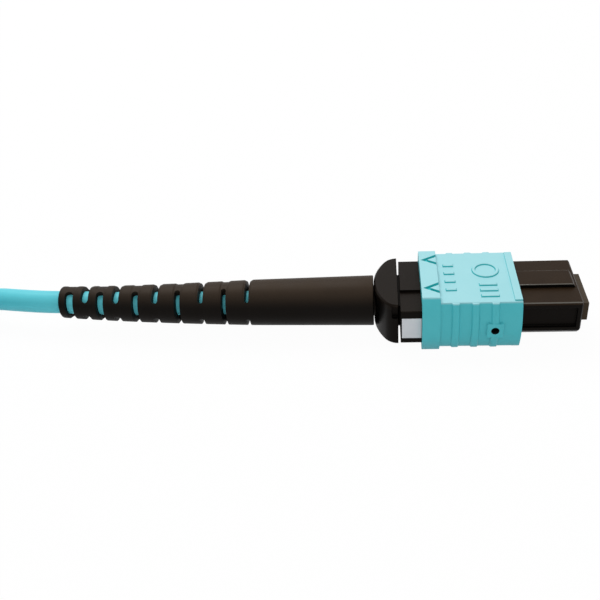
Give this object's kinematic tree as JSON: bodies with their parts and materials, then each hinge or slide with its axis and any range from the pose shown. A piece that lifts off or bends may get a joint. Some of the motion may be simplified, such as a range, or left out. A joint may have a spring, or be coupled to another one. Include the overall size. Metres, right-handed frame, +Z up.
{
  "type": "mpo fibre connector",
  "caption": "Push-pull multi-fibre plug with sliding aqua sleeve, keyed black housing, rectangular ferrule and slotted flexible boot on a round cable.",
  "frame": {"origin": "under the middle of the near connector, boot tip to ferrule face, on the surface its sleeve's rear band rests on", "axes": "+X forwards along the fibre axis to the ferrule's face, +Z up on the key's side"},
  "size_m": [0.1786, 0.0302, 0.0172],
  "materials": {
    "sleeve": "satin aqua moulded plastic",
    "housing": "satin black moulded plastic",
    "mark": "matt white plastic",
    "ferrule": "filled dark grey-brown resin, polished face",
    "boot": "soft black rubber",
    "steel": "plain spring steel",
    "fibre": "clear coated fibres",
    "yarn": "yellow aramid yarn",
    "ring": "nickel-plated brass",
    "cable": "satin aqua cable jacket",
    "tie": "black hook-and-loop strap"
  },
  "bodies": {
    "connector": {"inner_housing": "housing", "position_mark": "mark", "ferrule_spring": "steel", "coupling_spring_left": "steel", "coupling_spring_right": "steel", "spring_push": "housing", "aramid_yarn": "yarn", "crimp_ring": "ring", "cable_end": "cable", "strain_relief_boot": "boot", "cable_lead": "cable", "cable_hank": "cable", "cable_tail": "cable", "hank_tie": "tie", "far_inner_housing": "housing", "far_position_mark": "mark", "far_mt_ferrule": "ferrule", "far_spring_push": "housing", "far_boot": "boot"},
    "sleeve": {"outer_sleeve": "sleeve"},
    "ferrule": {"mt_ferrule": "ferrule", "ferrule_rubber": "boot", "pin_clamp": "steel", "fibre_ribbon": "fibre"},
    "far_sleeve": {"far_outer_sleeve": "sleeve"}
  },
  "joints": [
    {"name": "sleeve_slide", "type": "slide", "parent": "connector", "child": "sleeve", "axis": [-1, 0, 0], "range_m": [0, 0.002], "stiffness_N_per_m": 300, "springref_m": -0.004, "deforming": ["coupling_spring_left", "coupling_spring_right"]},
    {"name": "ferrule_float", "type": "slide", "parent": "connector", "child": "ferrule", "axis": [-1, 0, 0], "range_m": [0, 0.0008], "stiffness_N_per_m": 2500, "springref_m": -0.003, "deforming": ["ferrule_spring"]},
    {"name": "far_sleeve_slide", "type": "slide", "parent": "connector", "child": "far_sleeve", "axis": [1, 0, 0], "range_m": [0, 0.002], "stiffness_N_per_m": 300, "springref_m": -0.004}
  ]
}
